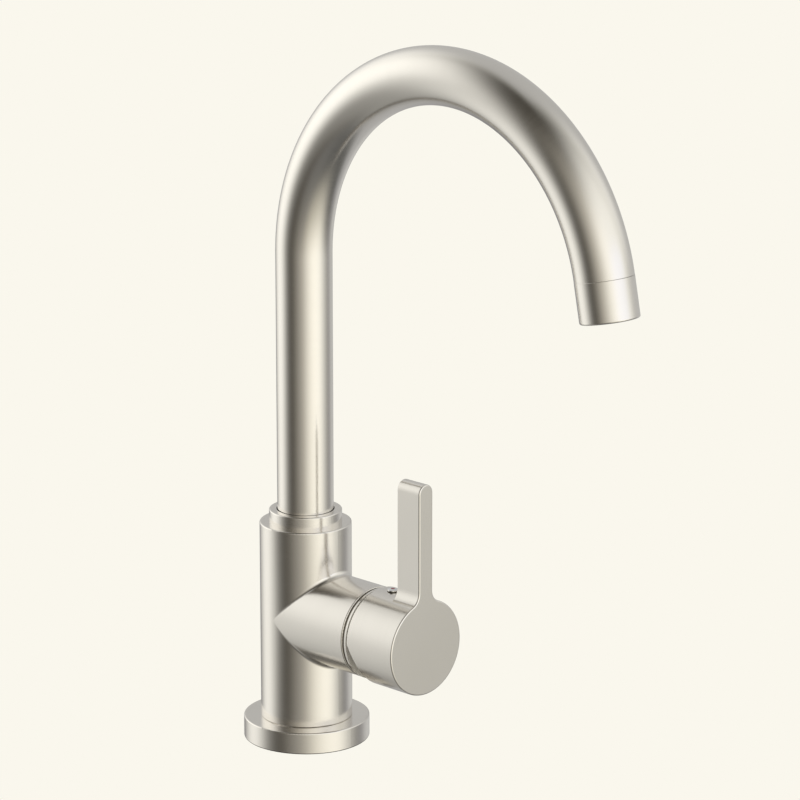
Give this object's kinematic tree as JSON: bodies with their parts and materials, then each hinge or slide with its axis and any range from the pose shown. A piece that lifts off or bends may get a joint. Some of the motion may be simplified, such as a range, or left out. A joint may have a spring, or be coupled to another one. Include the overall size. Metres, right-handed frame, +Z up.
{
  "type": "kitchen mixer tap",
  "caption": "Single-lever kitchen mixer tap: round flange, cylindrical body with a side handle, and a swivelling gooseneck spout with an aerator, in brushed nickel.",
  "frame": {"origin": "centre of the body's underside, on the worktop and on the axis that the spout turns about", "axes": "+Z up along the body's column, +X the way that the handle and the spout point at rest"},
  "size_m": [0.2225, 0.057, 0.3272],
  "materials": {
    "brushed_nickel_brass": "brushed nickel plate on brass",
    "brushed_nickel_tube": "brushed nickel finish on drawn tube",
    "brushed_nickel_handle": "brushed nickel plate on die-cast zinc",
    "indicator_chrome": "bright plated plug",
    "indicator_red": "red moulded dot",
    "turned_brass": "turned brass",
    "stainless_steel": "bright stainless steel",
    "white_acetal": "moulded acetal",
    "grey_plastic": "moulded plastic",
    "alumina": "lapped alumina ceramic",
    "black_rubber": "moulded nitrile rubber"
  },
  "bodies": {
    "tap_body": {"base_flange": "brushed_nickel_brass", "base_gasket": "black_rubber", "mixer_body": "brushed_nickel_brass", "spout_collar": "brushed_nickel_brass", "collar_glide_ring": "white_acetal", "upper_slip_washer": "white_acetal", "lower_slip_washer": "white_acetal", "cartridge_base": "grey_plastic", "cartridge_seals": "black_rubber", "fixed_ceramic_disc": "alumina", "cartridge_shell": "grey_plastic", "cartridge_nut": "turned_brass", "trim_ring": "brushed_nickel_brass"},
    "spout": {"spout_tube": "brushed_nickel_tube", "spout_shank": "turned_brass", "lower_o_ring": "black_rubber", "upper_o_ring": "black_rubber", "aerator_housing": "brushed_nickel_tube", "aerator_washer": "black_rubber", "aerator_screen": "stainless_steel", "flow_regulator": "white_acetal", "aerator_insert": "grey_plastic"},
    "temperature_rotor": {"cartridge_rotor": "white_acetal", "pivot_pin": "stainless_steel"},
    "lever": {"handle": "brushed_nickel_handle", "lever_stem": "stainless_steel", "handle_set_screw": "stainless_steel", "indicator_plug": "indicator_chrome", "indicator_dot": "indicator_red"},
    "valve_disc": {"moving_ceramic_disc": "alumina", "disc_driver": "white_acetal"}
  },
  "joints": [
    {"name": "spout_swivel", "type": "hinge", "parent": "tap_body", "child": "spout", "pos_m": [0, 0, 0.107], "axis": [0, 0, 1], "continuous": true},
    {"name": "temperature_turn", "type": "hinge", "parent": "tap_body", "child": "temperature_rotor", "pos_m": [0.04, 0, 0.0588], "axis": [1, 0, 0], "range_deg": [-45, 45]},
    {"name": "flow_lift", "type": "hinge", "parent": "temperature_rotor", "child": "lever", "pos_m": [0.04, 0, 0.0588], "axis": [0, 1, 0], "range_deg": [0, 25]},
    {"name": "disc_slide", "type": "slide", "parent": "temperature_rotor", "child": "valve_disc", "axis": [0, 0, 1], "range_m": [0, 0.004]}
  ],
  "couplings": [
    {"joint": "disc_slide", "follows": "flow_lift", "m_per_rad": 0.0091046}
  ]
}
